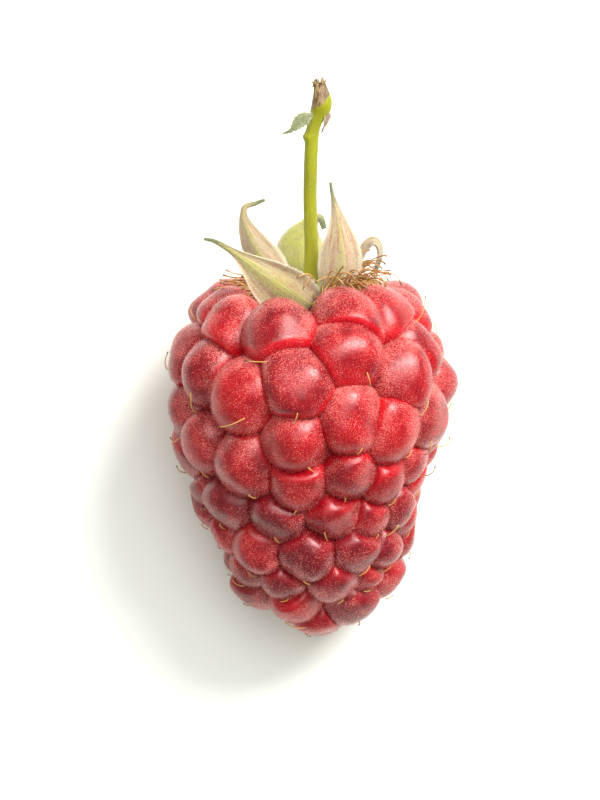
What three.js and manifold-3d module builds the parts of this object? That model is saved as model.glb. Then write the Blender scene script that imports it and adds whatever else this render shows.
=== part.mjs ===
// A ripe raspberry as picked, with its stem: one fruit of fused drupelets, the pedicel with the
// flared disc that it widens into, five sepals, two dried bracts and a crown of dry stamens.
// The fruit lies on its flank. Millimetres, +Z up, +Y towards the stem, resting on the plane z = 0.
//
// Everything is modelled on the upright fruit first: x to the right, -y to the front, z up the
// stem, with z = 0 where the sepals spring. One turned group then lays the fruit down.

import * as THREE from "three";
import { mergeVertices } from "three/addons/utils/BufferGeometryUtils.js";
import Module from "manifold-3d";

const wasm = await Module();
wasm.setup();

// ---------------------------------------------------------------- driving dimensions

const TILT = THREE.MathUtils.degToRad(14); // a cone on its flank carries its stem end high
const REST_DROP = 12.55; // from the calyx down to the table, once the fruit has settled flat
const TABLE = { width: 80, depth: 20 };

const SHOULDER = { depth: 8.6, reach: 9.3 }; // where the drupelets' centres stand furthest out
const TIP_LENGTH = 18.4; // from the shoulder to where the outline closes
const DRUPELET = { stretch: 1.1, sides: 8, rings: 2 };
const HEART = { steps: 10, sides: 16, top: 1.2, bottom: 25.8, outset: 0.35 };

// Each row of drupelets runs round the fruit. "front" lists those on the upper side as
// [angle from the front, depth below the calyx, radius]; "behind" more of one depth and size
// close the row underneath, evenly spaced.
const ROWS = [
  {
    front: [
      [-82, 1.5, 2.4], [-55, 2.6, 2.4], [-20, 2.4, 2.7], [26, 1.2, 2.9], [58, 1.4, 2.5],
      [84, 1.8, 2.3],
    ],
    behind: 5,
    depth: 2.7,
    size: 2.4,
  },
  {
    front: [
      [-80, 5.7, 2.4], [-57, 6.1, 2.4], [-6, 5.7, 2.9], [19, 4.0, 2.9], [50, 6.3, 2.5],
      [76, 4.4, 2.5], [90, 7.8, 2.4],
    ],
    behind: 6,
    depth: 6.3,
    size: 2.5,
  },
  {
    front: [
      [-78, 9.9, 2.4], [-32, 7.2, 2.6], [-6, 10.2, 2.5], [18, 8.7, 2.4], [41, 10.0, 2.4],
      [67, 9.9, 2.3], [87, 11.6, 2.1],
    ],
    behind: 6,
    depth: 10.1,
    size: 2.35,
  },
  {
    front: [
      [-84, 12.9, 2.1], [-60, 11.7, 2.4], [-34, 12.6, 2.5], [-6, 13.5, 2.3], [20, 13.1, 2.2],
      [42, 14.0, 2.0], [62, 13.2, 1.8], [79, 15.0, 2.0],
    ],
    behind: 7,
    depth: 13.7,
    size: 2.25,
  },
  {
    front: [
      [-78, 15.8, 2.0], [-52, 16.2, 2.3], [-18, 16.6, 2.2], [13, 16.4, 2.2], [38, 17.2, 1.8],
      [59, 16.6, 2.0], [77, 18.6, 1.9],
    ],
    behind: 6,
    depth: 17.0,
    size: 2.15,
  },
  {
    front: [
      [-86, 18.8, 1.8], [-66, 19.5, 2.0], [-35, 19.7, 2.2], [-2, 20.0, 2.2], [31, 19.8, 2.1],
      [57, 20.3, 1.9],
    ],
    behind: 6,
    depth: 20.0,
    size: 2.05,
  },
  {
    front: [
      [-84, 22.9, 1.9], [-56, 22.1, 1.7], [-22, 22.3, 2.0], [18, 22.2, 2.1], [50, 22.6, 1.6],
      [84, 21.8, 2.1],
    ],
    behind: 4,
    depth: 22.5,
    size: 1.95,
  },
  {
    front: [[-66, 24.8, 1.8], [-14, 25.0, 2.0], [54, 24.8, 2.3], [92, 24.2, 1.8]],
    behind: 3,
    depth: 24.7,
    size: 1.85,
  },
  { front: [[16, 26.3, 1.7]], behind: 1, depth: 26.4, size: 1.7 },
];

const STEM = {
  // [right, front, up the stem]
  path: [
    [0, 0, -0.2], [0.1, 0, 2.8], [0, 0, 6.9], [0, 0, 10.2],
    [0.25, 0, 12.7], [0.75, 0, 14.4], [1.05, 0, 15.4], [0.9, 0, 16.4],
  ],
  radius: 0.54,
  baseSwell: 0.14,
  endSwell: 0.28,
  sides: 8,
  steps: 18,
};
const DISC = { radius: 2.75, rim: 0.35, underside: 0.9, sides: 20 };

// A sepal is a cupped blade along its spine, ending in a long tail. "faces" is the way its inner
// face looks, and "cup" how far its edges stand up from its spine.
const SEPALS = [
  {
    name: "sepal_front_left",
    spine: [[-1.7, 2.6, 0.25], [-3.5, 3.7, 1.5], [-5.8, 4.0, 3.6], [-8.2, 4.0, 4.9]],
    faces: [-0.3, 0.9, -0.4],
    halfWidth: 1.75,
    cup: 0.5,
  },
  {
    name: "sepal_back_left",
    spine: [[-3.0, -0.9, 0.25], [-4.3, -1.2, 2.9], [-5.3, -1.4, 5.0], [-3.7, -1.6, 6.0]],
    faces: [-0.6, 0.7, 0.1],
    halfWidth: 1.5,
    cup: 0.45,
  },
  {
    name: "sepal_behind_stem",
    spine: [[0, -3.1, 0.25], [-0.5, -3.8, 2.0], [0, -4.0, 3.7], [1.1, -3.7, 4.4], [1.4, -3.3, 3.7]],
    faces: [0, -1, 0.2],
    halfWidth: 1.7,
    cup: 0.4,
  },
  {
    name: "sepal_front_right",
    spine: [[2.1, 2.2, 0.25], [2.4, 2.7, 2.6], [2.4, 2.9, 5.2], [2.1, 2.8, 7.2], [1.7, 2.7, 9.0]],
    faces: [0.45, 0.9, 0],
    halfWidth: 1.6,
    cup: -0.35,
  },
  {
    name: "sepal_back_right",
    spine: [
      [3.0, -0.9, 0.25], [3.75, -1.1, 1.5], [4.1, -1.2, 2.4], [4.7, -1.3, 3.1],
      [5.3, -1.3, 3.1], [5.6, -1.4, 2.3], [5.25, -1.6, 0.9],
    ],
    faces: [0.5, 0.6, 0.5],
    halfWidth: 0.45,
    cup: 0.1,
  },
];
const SEPAL = { thickness: 0.34, tailHalfWidth: 0.14, across: 4, along: 11 };

const BRACTS = [
  {
    name: "bract",
    spine: [[-0.3, 0.3, 14.3], [-0.9, 0.55, 14.0], [-1.4, 0.6, 13.4], [-1.95, 0.5, 13.0]],
    faces: [0, 1, 0.2],
    halfWidth: 0.5,
    cup: 0.1,
  },
  {
    name: "bract_scale",
    spine: [[1.95, 0.1, 14.5], [1.95, 0.15, 13.9], [1.7, 0.2, 13.0]],
    faces: [0.4, 1, 0],
    halfWidth: 0.28,
    cup: 0,
  },
];
const BRACT = { thickness: 0.2, tailHalfWidth: 0.08, across: 2, along: 5 };

// Dry stamens stand round the disc in three groups: upright where the sepals leave room, and
// pressed out over the drupelets where a sepal lies on them. Angles are from the front.
const STAMEN_GROUPS = [
  { from: -2, to: 86, count: 11, rise: 2.0, spread: 2.2, curl: 0.4 },
  { from: -104, to: -58, count: 5, rise: 0.75, spread: 1.9, curl: 0.1 },
  { from: 128, to: 230, count: 6, rise: 0.8, spread: 2.0, curl: 0.2 },
];
const STAMEN = { radius: 0.1, foot: 4.0, sunk: 0.6, sides: 5, steps: 6, unevenness: 0.15 };

// ---------------------------------------------------------------- shared geometry helpers

const degrees = THREE.MathUtils.degToRad;

// A place on the upright fruit: an angle from the front, a distance from the axis, a height.
function around(angle, reach, height) {
  return new THREE.Vector3(reach * Math.sin(angle), -reach * Math.cos(angle), height);
}

// [right, front, up the stem] as a point of the upright fruit.
function point([right, front, up]) {
  return new THREE.Vector3(right, -front, up);
}

function solidOf(geometry) {
  const bare = geometry.clone();
  bare.deleteAttribute("normal");
  bare.deleteAttribute("uv");
  const merged = mergeVertices(bare, 1e-4);
  return new wasm.Manifold(
    new wasm.Mesh({
      numProp: 3,
      vertProperties: merged.attributes.position.array,
      triVerts: new Uint32Array(merged.index.array),
    }),
  );
}

function geometryOf(solid) {
  const mesh = solid.getMesh();
  const geometry = new THREE.BufferGeometry();
  geometry.setAttribute("position", new THREE.BufferAttribute(mesh.vertProperties, 3));
  geometry.setIndex(new THREE.BufferAttribute(mesh.triVerts, 1));
  geometry.computeVertexNormals();
  return geometry;
}

// Moves every vertex of a geometry to where place(vertex) puts it.
function reshape(geometry, place) {
  const positions = geometry.attributes.position;
  const vertex = new THREE.Vector3();
  for (let i = 0; i < positions.count; i++) {
    vertex.fromBufferAttribute(positions, i);
    const moved = place(vertex);
    positions.setXYZ(i, moved.x, moved.y, moved.z);
  }
  geometry.computeVertexNormals();
  return geometry;
}

// A turned solid about the fruit's axis, from an outline of (distance from the axis, height).
function spun(outline, sides) {
  return new THREE.LatheGeometry(outline, sides).rotateX(Math.PI / 2);
}

// A closed round rod along a curve, with its radius a function of how far along it is.
function rod(points, radiusAt, sides, steps) {
  const curve = new THREE.CatmullRomCurve3(points);
  const frames = curve.computeFrenetFrames(steps);
  return reshape(new THREE.CylinderGeometry(1, 1, 1, sides, steps), (v) => {
    const t = v.y + 0.5;
    const step = Math.round(t * steps);
    const radius = radiusAt(t);
    return curve
      .getPointAt(t)
      .addScaledVector(frames.normals[step], v.x * radius)
      .addScaledVector(frames.binormals[step], -v.z * radius);
  });
}

// A closed blade along a spine: widest a third of the way up, then drawn out into a tail.
function blade({ spine, faces, halfWidth, cup }, { thickness, tailHalfWidth, across, along }) {
  const curve = new THREE.CatmullRomCurve3(spine.map(point));
  const facing = point(faces).normalize();
  return reshape(new THREE.BoxGeometry(1, 1, 1, across, along, 1), (v) => {
    const t = v.y + 0.5;
    const s = 2 * v.x;
    const swell = Math.sin(Math.PI * Math.min(1, 0.22 + 0.78 * t)) ** 1.3;
    const width = Math.max(tailHalfWidth, halfWidth * swell);
    const tangent = curve.getTangentAt(t);
    const side = new THREE.Vector3().crossVectors(tangent, facing).normalize();
    const normal = new THREE.Vector3().crossVectors(side, tangent);
    const lift = cup * (s * s - 0.3) * (width / halfWidth);
    return curve
      .getPointAt(t)
      .addScaledVector(side, s * width)
      .addScaledVector(normal, lift + v.z * thickness);
  });
}

// ---------------------------------------------------------------- the fruit

// How far out a drupelet's centre stands at a depth below the calyx.
function reachAt(depth) {
  const below = depth - SHOULDER.depth;
  if (below < 0) return SHOULDER.reach - 0.05 * below * below;
  return SHOULDER.reach * Math.sqrt(Math.max(0, 1 - (below / TIP_LENGTH) ** 1.5));
}

// Which way the outline faces at a depth, as an angle below the horizontal.
function slopeAt(depth) {
  const step = 0.5;
  return Math.atan2(reachAt(depth - step) - reachAt(depth + step), 2 * step);
}

// Every drupelet as { angle, depth, size }, row by row.
function listDrupelets() {
  return ROWS.flatMap(({ front, behind, depth, size }) => {
    const seen = front.map(([angle, at, radius]) => ({ angle, depth: at, size: radius }));
    const first = front[0][0] + 360;
    const last = front[front.length - 1][0];
    const hidden = Array.from({ length: behind }, (_, i) => ({
      angle: last + ((first - last) * (i + 1)) / (behind + 1),
      depth,
      size,
    }));
    return [...seen, ...hidden];
  });
}

// One drupelet: a round dome drawn out a little the way it faces, and a cone down into the heart.
function drupelet({ angle, depth, size }) {
  const turn = degrees(angle);
  const slope = slopeAt(depth);
  const out = around(turn, Math.cos(slope), -Math.sin(slope));
  const outline = [new THREE.Vector2(0, -size)];
  for (let i = 0; i <= DRUPELET.rings; i++) {
    const rise = ((Math.PI / 2) * i) / DRUPELET.rings;
    outline.push(new THREE.Vector2(size * Math.cos(rise), DRUPELET.stretch * size * Math.sin(rise)));
  }
  outline[outline.length - 1].x = 0;
  const dome = spun(outline, DRUPELET.sides);
  dome.applyQuaternion(new THREE.Quaternion().setFromUnitVectors(new THREE.Vector3(0, 0, 1), out));
  const centre = around(turn, reachAt(depth), -depth);
  return dome.translate(centre.x, centre.y, centre.z);
}

// The flesh that the drupelets are grown together by, out to a little past their centres.
function heart() {
  const outline = [new THREE.Vector2(0, -HEART.bottom)];
  for (let i = 0; i <= HEART.steps; i++) {
    const depth = THREE.MathUtils.lerp(HEART.bottom, HEART.top, i / HEART.steps);
    outline.push(new THREE.Vector2(Math.max(0.5, reachAt(depth) + HEART.outset), -depth));
  }
  outline.push(new THREE.Vector2(0, -HEART.top));
  return spun(outline, HEART.sides);
}

// The table, turned into the upright fruit's frame, so that cutting with it leaves the small
// flats that a soft fruit rests on.
function table(layDown) {
  const slab = new THREE.BoxGeometry(TABLE.width, TABLE.width, TABLE.depth);
  slab.translate(0, 0, -REST_DROP - TABLE.depth / 2);
  return slab.applyMatrix4(layDown.clone().invert());
}

function fruit(layDown) {
  const joined = listDrupelets().reduce(
    (body, each) => body.add(solidOf(drupelet(each))),
    solidOf(heart()),
  );
  return geometryOf(joined.subtract(solidOf(table(layDown))));
}

// ---------------------------------------------------------------- stem, sepals, bracts, stamens

function pedicel() {
  const radiusAt = (t) =>
    STEM.radius + STEM.baseSwell * (1 - t) ** 3 + STEM.endSwell * Math.exp(-(((t - 0.9) / 0.07) ** 2));
  const stalk = rod(STEM.path.map(point), radiusAt, STEM.sides, STEM.steps);
  const outline = [
    [0, -DISC.underside],
    [DISC.radius * 0.75, -DISC.underside],
    [DISC.radius, -DISC.rim],
    [DISC.radius * 0.9, 0],
    [DISC.radius * 0.45, 0.3],
    [STEM.radius * 1.25, 0.9],
    [0, 1.0],
  ];
  const flare = spun(outline.map(([reach, up]) => new THREE.Vector2(reach, up)), DISC.sides);
  return geometryOf(solidOf(stalk).add(solidOf(flare)));
}

// A stamen's thread: up and outwards from the rim of the disc, and over at its tip.
function stamen(angle, { rise, spread, curl }, unevenness) {
  const tall = rise * (1 + unevenness);
  const wide = spread * (1 - unevenness);
  const drift = degrees(8 * unevenness);
  const points = [
    around(angle, STAMEN.foot, -STAMEN.sunk),
    around(angle, STAMEN.foot + 0.15 * wide, 0.45 * tall),
    around(angle + drift, STAMEN.foot + 0.5 * wide, tall),
    around(angle + 2 * drift, STAMEN.foot + wide, tall - curl),
  ];
  return rod(points, (t) => STAMEN.radius * (1 - 0.35 * t), STAMEN.sides, STAMEN.steps);
}

// ---------------------------------------------------------------- materials and assembly

const materials = {
  fruit: new THREE.MeshStandardMaterial({ color: 0xb3243a, roughness: 0.5, metalness: 0 }),
  stem: new THREE.MeshStandardMaterial({ color: 0xb5bf32, roughness: 0.55, metalness: 0 }),
  sepal: new THREE.MeshStandardMaterial({ color: 0xcfc98a, roughness: 0.8, metalness: 0 }),
  bract: new THREE.MeshStandardMaterial({ color: 0xa3a878, roughness: 0.85, metalness: 0 }),
  stamen: new THREE.MeshStandardMaterial({ color: 0xb57f34, roughness: 0.7, metalness: 0 }),
};

const upright = new THREE.Group();

function addPiece(name, geometry, material) {
  const mesh = new THREE.Mesh(geometry, material);
  mesh.name = name;
  upright.add(mesh);
}

upright.rotation.x = TILT - Math.PI / 2;
upright.updateMatrix();

addPiece("fruit", fruit(upright.matrix), materials.fruit);
addPiece("pedicel", pedicel(), materials.stem);
for (const sepal of SEPALS) addPiece(sepal.name, blade(sepal, SEPAL), materials.sepal);
for (const bract of BRACTS) addPiece(bract.name, blade(bract, BRACT), materials.bract);

let stamenNumber = 0;
for (const group of STAMEN_GROUPS) {
  for (let i = 0; i < group.count; i++) {
    stamenNumber += 1;
    const angle = degrees(THREE.MathUtils.lerp(group.from, group.to, i / (group.count - 1)));
    const unevenness = STAMEN.unevenness * Math.sin(5 * stamenNumber);
    const name = `stamen_${String(stamenNumber).padStart(2, "0")}`;
    addPiece(name, stamen(angle, group, unevenness), materials.stamen);
  }
}

// The origin is on the table, under the middle of the whole part.
const raspberry = new THREE.Group();
raspberry.add(upright);
raspberry.updateMatrixWorld(true);
const extent = new THREE.Box3().setFromObject(raspberry, true);
const middle = extent.getCenter(new THREE.Vector3());
upright.position.set(-middle.x, -middle.y, -extent.min.z);

export default raspberry;
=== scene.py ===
import bpy
import numpy as np
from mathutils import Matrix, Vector


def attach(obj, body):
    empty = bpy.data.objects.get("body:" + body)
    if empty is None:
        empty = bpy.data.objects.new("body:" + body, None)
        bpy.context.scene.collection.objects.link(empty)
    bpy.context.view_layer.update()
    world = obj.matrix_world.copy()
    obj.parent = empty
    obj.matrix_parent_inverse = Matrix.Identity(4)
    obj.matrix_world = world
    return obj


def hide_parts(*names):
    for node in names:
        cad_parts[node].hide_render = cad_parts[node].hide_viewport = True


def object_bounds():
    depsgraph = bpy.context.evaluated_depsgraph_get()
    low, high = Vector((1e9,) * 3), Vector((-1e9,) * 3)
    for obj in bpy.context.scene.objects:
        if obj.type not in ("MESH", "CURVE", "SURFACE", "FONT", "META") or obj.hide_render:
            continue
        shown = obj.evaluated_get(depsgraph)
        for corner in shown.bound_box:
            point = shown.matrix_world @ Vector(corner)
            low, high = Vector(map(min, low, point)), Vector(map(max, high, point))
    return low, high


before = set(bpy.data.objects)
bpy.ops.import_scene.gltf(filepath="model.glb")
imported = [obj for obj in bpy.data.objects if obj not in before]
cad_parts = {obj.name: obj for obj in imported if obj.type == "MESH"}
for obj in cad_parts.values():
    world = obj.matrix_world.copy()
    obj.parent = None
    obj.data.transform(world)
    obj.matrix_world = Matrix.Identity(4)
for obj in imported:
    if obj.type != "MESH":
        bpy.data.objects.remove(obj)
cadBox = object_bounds()
rng = np.random.default_rng(11)

metre = 0.001  # everything below is worked out in millimetres, and made in metres

# The fruit is worked out upright, (right, back, up the stem) from the calyx, then laid on its flank.
lying = {"tilt": 14, "calyx": (-0.16, 5.87, 12.55)}  # degrees, and where the calyx comes to


# The camera looks straight down from this distance above the calyx's level, on a frame this tall.
view = {
    "centre": (-0.96, -3.4),
    "distance": 500,
    "tall": 64,
    "level": 12.55,
    "sensor": 36,
    "nearest": 10,
    "farthest": 10000,
}
lamps = {
    "window": {"place": (172, 200, 268), "size": 190, "watts": 2.35, "colour": (1, 0.99, 0.98)},
    "overhead": {"place": (20, 90, 480), "size": 380, "watts": 1.3, "colour": (1, 1, 1)},
}
lampAim = (0, 0, 8.0)  # the middle of the fruit, a little over the table
surround = {
    "sky": (0.99, 1.0, 0.93),
    "skyStrength": 0.5,
    "floor": 4000,  # the paper's side
    "floorColour": (0.88, 0.91, 0.85),
    "floorRoughness": 0.8,
}


# The lens's length is to the sensor's side as the distance is to the frame's height.
def makeCamera():
    data = bpy.data.cameras.new("camera")
    data.sensor_width = view["sensor"]
    data.lens = view["sensor"] * view["distance"] / view["tall"]
    data.clip_start = view["nearest"] * metre
    data.clip_end = view["farthest"] * metre
    camera = bpy.data.objects.new("camera", data)
    x, y = view["centre"]
    camera.location = np.array((x, y, view["level"] + view["distance"])) * metre
    bpy.context.collection.objects.link(camera)
    bpy.context.scene.camera = camera


# A round lamp turned so that its own -Z runs along aim - place.
def makeLamp(name, values):
    data = bpy.data.lights.new(name, "AREA")
    data.shape = "DISK"
    data.size = values["size"] * metre
    data.energy = values["watts"]
    data.color = values["colour"]
    lamp = bpy.data.objects.new(name, data)
    place = np.array(values["place"], float)
    lamp.location = place * metre
    aim = Vector(tuple(np.array(lampAim) - place))
    lamp.rotation_euler = aim.to_track_quat("-Z", "Y").to_euler()
    bpy.context.collection.objects.link(lamp)


# The same light from every side, and colours shown plainly.
def makeSurround():
    world = bpy.data.worlds.new("studio")
    bpy.context.scene.world = world
    world.use_nodes = True
    background = world.node_tree.nodes["Background"]
    background.inputs["Color"].default_value = (*surround["sky"], 1)
    background.inputs["Strength"].default_value = surround["skyStrength"]
    scene = bpy.context.scene
    scene.view_settings.view_transform = "Standard"
    scene.view_settings.look = "None"


# Upright directions as they lie: y' = y sin T + z cos T and z' = z sin T - y cos T, with T the tilt.
def turned(vectors):
    tilt = np.radians(lying["tilt"])
    x, y, z = np.moveaxis(np.asarray(vectors, float), -1, 0)
    return np.stack([x, y * np.sin(tilt) + z * np.cos(tilt), z * np.sin(tilt) - y * np.cos(tilt)], -1)


# Upright places as they lie: turned, and then moved by the calyx's own place.
def laid(points):
    return turned(points) + np.array(lying["calyx"])


# v / |v| for each vector
def unit(vectors):
    return vectors / np.maximum(np.linalg.norm(vectors, axis=-1, keepdims=True), 1e-12)


# Six times the volume inside the faces: the sum of a . (b x c) over the triangles.
def signedVolume(points, faces):
    total = 0
    for corners in faces:
        for k in range(1, corners.shape[1] - 1):
            a, b, c = (points[corners[:, i]] for i in (0, k, k + 1))
            total += np.einsum("ij,ij->", a, np.cross(b, c))
    return total


# A mesh object from an array of points in millimetres and a list of arrays of faces, three or four
# corners each, turned to face outwards. numbers gives each named attribute's value at every point,
# and bakeUv a pair at every point.
def makePiece(name, points, faces, material, numbers=None, bakeUv=None, smooth=True):
    if signedVolume(points, faces) < 0:
        faces = [corners[:, ::-1] for corners in faces]
    mesh = bpy.data.meshes.new(name)
    flat = np.concatenate([f.reshape(-1) for f in faces]).astype(np.int32)
    corners = np.concatenate([np.full(len(f), f.shape[1]) for f in faces])
    starts = np.concatenate([[0], np.cumsum(corners)[:-1]]).astype(np.int32)
    mesh.vertices.add(len(points))
    mesh.vertices.foreach_set("co", (np.asarray(points) * metre).astype(np.float32).reshape(-1))
    mesh.loops.add(len(flat))
    mesh.loops.foreach_set("vertex_index", flat)
    mesh.polygons.add(len(starts))
    mesh.polygons.foreach_set("loop_start", starts)
    mesh.polygons.foreach_set("use_smooth", np.full(len(starts), smooth))
    mesh.update(calc_edges=True)
    mesh.validate()
    for key, values in (numbers or {}).items():
        layer = mesh.attributes.new(key, "FLOAT", "POINT")
        layer.data.foreach_set("value", np.asarray(values, np.float32).reshape(-1))
    if bakeUv is not None:
        layer = mesh.uv_layers.new(name="OFBake")
        layer.data.foreach_set("uv", np.asarray(bakeUv, np.float32)[flat].reshape(-1))
    mesh.materials.append(material)
    piece = bpy.data.objects.new(name, mesh)
    bpy.context.collection.objects.link(piece)
    return piece


# The faces of a closed tube of rings: quads between neighbours, and a fan to each end's own point.
# Points are the rings in order, then the first end's point, then the last end's.
def tubeFaces(rings, sides):
    r, s = np.meshgrid(np.arange(rings - 1), np.arange(sides), indexing="ij")
    a = r * sides + s
    b = r * sides + (s + 1) % sides
    quads = np.stack([a, b, b + sides, a + sides], -1).reshape(-1, 4)
    s = np.arange(sides)
    last = (rings - 1) * sides
    first = np.stack([np.full(sides, rings * sides), (s + 1) % sides, s], -1)
    end = np.stack([np.full(sides, rings * sides + 1), last + s, last + (s + 1) % sides], -1)
    return quads, np.concatenate([first, end])


# The same faces for many equal shapes in a row, each with count points.
def repeated(faces, copies, count):
    steps = (np.arange(copies) * count)[:, None, None]
    return (faces[None] + steps).reshape(-1, faces.shape[1])


# A smooth cubic curve through the points, whose slope at each is half the step between its two
# neighbours, cut into count places an even length apart.
def smoothPath(points, count):
    points = np.asarray(points, float)
    padded = np.vstack([2 * points[0] - points[1], points, 2 * points[-1] - points[-2]])
    t = np.linspace(0, len(points) - 1, 24 * len(points))
    span = np.minimum(t.astype(int), len(points) - 2)
    f = (t - span)[:, None]
    a, b, c, d = (padded[span + k] for k in range(4))
    square, cube = 2 * a - 5 * b + 4 * c - d, 3 * b - a - 3 * c + d
    curve = 0.5 * (2 * b + (c - a) * f + square * f**2 + cube * f**3)
    length = np.concatenate([[0], np.cumsum(np.linalg.norm(np.diff(curve, axis=0), axis=1))])
    even = np.linspace(0, length[-1], count)
    return np.stack([np.interp(even, length, curve[:, k]) for k in range(points.shape[1])], -1)


# 1 at a place, and less on both sides of it: exp(-((s - at) / spread)^2).
def swelling(s, at, spread):
    return np.exp(-(((s - at) / spread) ** 2))


# Many round rods at once: paths is (rods, steps, 3) and radii (rods, steps). Each ring is
# p + r (n cos a + b sin a), with n and b square to the path, and each end closes on its own point.
# It also gives every point's share of the length and the number of its rod.
def rods(paths, radii, sides):
    tangent = unit(np.gradient(paths, axis=1))
    helper = np.where(np.abs(tangent[:, :1, 2:3]) > 0.8, (1.0, 0, 0), (0, 0, 1.0))  # not along the rod
    n = unit(np.cross(tangent, helper))
    b = np.cross(tangent, n)
    angle = np.linspace(0, 2 * np.pi, sides, endpoint=False)
    ring = n[:, :, None] * np.cos(angle)[:, None] + b[:, :, None] * np.sin(angle)[:, None]
    points = paths[:, :, None] + radii[:, :, None, None] * ring
    count, steps = paths.shape[:2]
    points = points.reshape(count, steps * sides, 3)
    points = np.concatenate([points, paths[:, :1], paths[:, -1:]], 1)
    quads, tris = tubeFaces(steps, sides)
    per = steps * sides + 2
    faces = [repeated(quads, count, per), repeated(tris, count, per)]
    along = np.concatenate([np.repeat(np.linspace(0, 1, steps), sides), [0, 1]])
    return points.reshape(-1, 3), faces, np.tile(along, count), np.repeat(np.arange(count), per)


# Thin hairs from roots along ways, each a three-sided spike: a ring r + w (n cos a + b sin a) at
# the root and one point at the end. On the map, each hair has its own chance place u, and v runs
# along it.
def hairs(roots, ways, lengths, width):
    count = len(roots)
    side = unit(np.cross(ways, (0.31, 0.52, 0.79)))
    other = np.cross(ways, side)
    turn = np.array((0, 2, 4)) * np.pi / 3
    ring = side[:, None] * np.cos(turn)[:, None] + other[:, None] * np.sin(turn)[:, None]
    low = roots[:, None] + ring * width[:, None, None]
    tip = roots + ways * lengths[:, None]
    points = np.concatenate([low, tip[:, None]], 1)
    faces = repeated(np.array([(0, 1, 3), (1, 2, 3), (2, 0, 3), (2, 1, 0)]), count, 4)
    along = np.tile((0, 0, 0, 1.0), count)
    return points.reshape(-1, 3), [faces], np.stack([np.repeat(rng.random(count), 4), along], -1)


# A principled material, with its tree of nodes and its shader.
def newMaterial(name):
    material = bpy.data.materials.new(name)
    material.use_nodes = True
    tree = material.node_tree
    return material, tree, tree.nodes["Principled BSDF"]


# Sets a node's own constant sockets by their names.
def setSockets(node, values):
    for key, value in values.items():
        node.inputs[key].default_value = value


# Noise over the object's own coordinates, in waves per metre, drawn out where stretch is under 1.
def noise(tree, scale, detail=3, roughness=0.55, stretch=(1, 1, 1)):
    place = tree.nodes.new("ShaderNodeTexCoord")
    mapping = tree.nodes.new("ShaderNodeMapping")
    mapping.inputs["Scale"].default_value = stretch
    cloud = tree.nodes.new("ShaderNodeTexNoise")
    setSockets(cloud, {"Scale": scale, "Detail": detail, "Roughness": roughness})
    tree.links.new(place.outputs["Object"], mapping.inputs["Vector"])
    tree.links.new(mapping.outputs["Vector"], cloud.inputs["Vector"])
    return cloud.outputs["Fac"]


# The number that the mesh holds under this name.
def attribute(tree, name):
    node = tree.nodes.new("ShaderNodeAttribute")
    node.attribute_name = name
    return node.outputs["Fac"]


# The value carried evenly from fromLow..fromHigh to toLow..toHigh, and held at their ends.
def ranged(tree, value, fromLow, fromHigh, toLow=0.0, toHigh=1.0):
    node = tree.nodes.new("ShaderNodeMapRange")
    keys = ("From Min", "From Max", "To Min", "To Max")
    for key, number in zip(keys, (fromLow, fromHigh, toLow, toHigh)):
        node.inputs[key].default_value = number
    tree.links.new(value, node.inputs["Value"])
    return node.outputs["Result"]


# a and b, each a number or a socket, taken together by the operation.
def combined(tree, operation, a, b):
    node = tree.nodes.new("ShaderNodeMath")
    node.operation = operation
    for socket, value in zip(node.inputs, (a, b)):
        if isinstance(value, (int, float)):
            socket.default_value = value
        else:
            tree.links.new(value, socket)
    return node.outputs["Value"]


# The colour a (1 - amount) + b amount.
def mixed(tree, amount, a, b):
    node = tree.nodes.new("ShaderNodeMix")
    node.data_type = "RGBA"
    for key, value in (("Factor", amount), ("A", a), ("B", b)):
        socket = next(s for s in node.inputs if s.name == key and s.enabled)
        if isinstance(value, tuple):
            socket.default_value = (*value, 1)
        elif isinstance(value, (int, float)):
            socket.default_value = value
        else:
            tree.links.new(value, socket)
    return next(s for s in node.outputs if s.enabled)


# Leans the shader's normal by the slope of the height, at most distance (in metres) high.
def bumped(tree, shader, height, strength, distance):
    bump = tree.nodes.new("ShaderNodeBump")
    setSockets(bump, {"Strength": strength, "Distance": distance})
    tree.links.new(height, bump.inputs["Height"])
    tree.links.new(bump.outputs["Normal"], shader.inputs["Normal"])


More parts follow.
